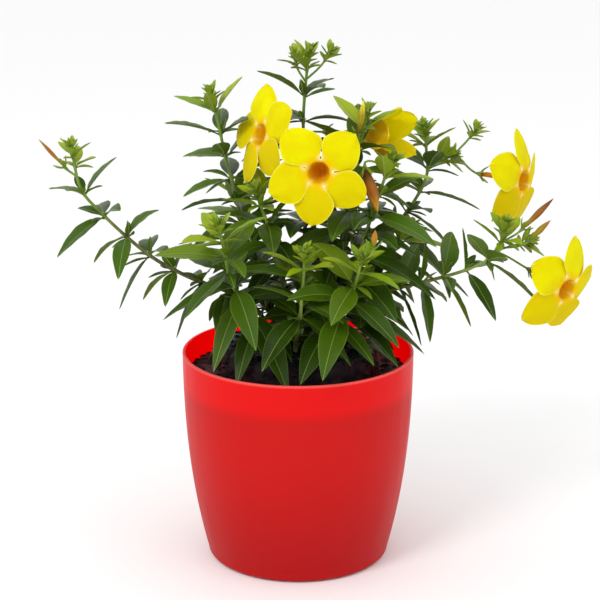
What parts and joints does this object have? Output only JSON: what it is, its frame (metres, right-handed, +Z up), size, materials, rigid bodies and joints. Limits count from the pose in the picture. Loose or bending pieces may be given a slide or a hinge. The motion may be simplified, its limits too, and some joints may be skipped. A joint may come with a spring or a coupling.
{
  "type": "potted allamanda",
  "caption": "Flowering allamanda shrub in a plain tapered plastic pot: leafy upright and trailing stems, yellow trumpet blooms and furled buds.",
  "frame": {"origin": "centre of the pot's underside, on the surface that it stands on", "axes": "+Z up along the pot's axis, -Y the side that the picture shows, +X to the right of that view"},
  "size_m": [0.4176, 0.2327, 0.4011],
  "materials": {
    "pot_plastic": "satin moulded plastic",
    "soil": "damp peat and bark potting mix",
    "leaf": "glossy leaf",
    "petal": "soft waxy petal",
    "bud": "furled petals, orange to green"
  },
  "bodies": {
    "root": {"pot": "pot_plastic", "soil": "soil", "bloom_front": "petal", "bloom_left": "petal", "bloom_rear": "petal", "bloom_right": "petal", "bloom_low": "petal", "bud_left_tip": "bud", "bud_right": "bud", "bud_right_green": "bud", "bud_upper": "bud", "bud_spent": "bud", "bud_front": "bud", "stem_left_trailing": "leaf", "stem_left_upright": "leaf", "stem_centre_upright": "leaf", "stem_left_front": "leaf", "stem_right_front": "leaf", "stem_right_upper": "leaf", "stem_right_mid": "leaf", "stem_right_rear": "leaf", "stem_right_trailing": "leaf", "stem_back_left": "leaf", "stem_back_right": "leaf", "stem_centre_front": "leaf", "stem_left_inner": "leaf", "stem_right_inner": "leaf"}
  },
  "joints": []
}
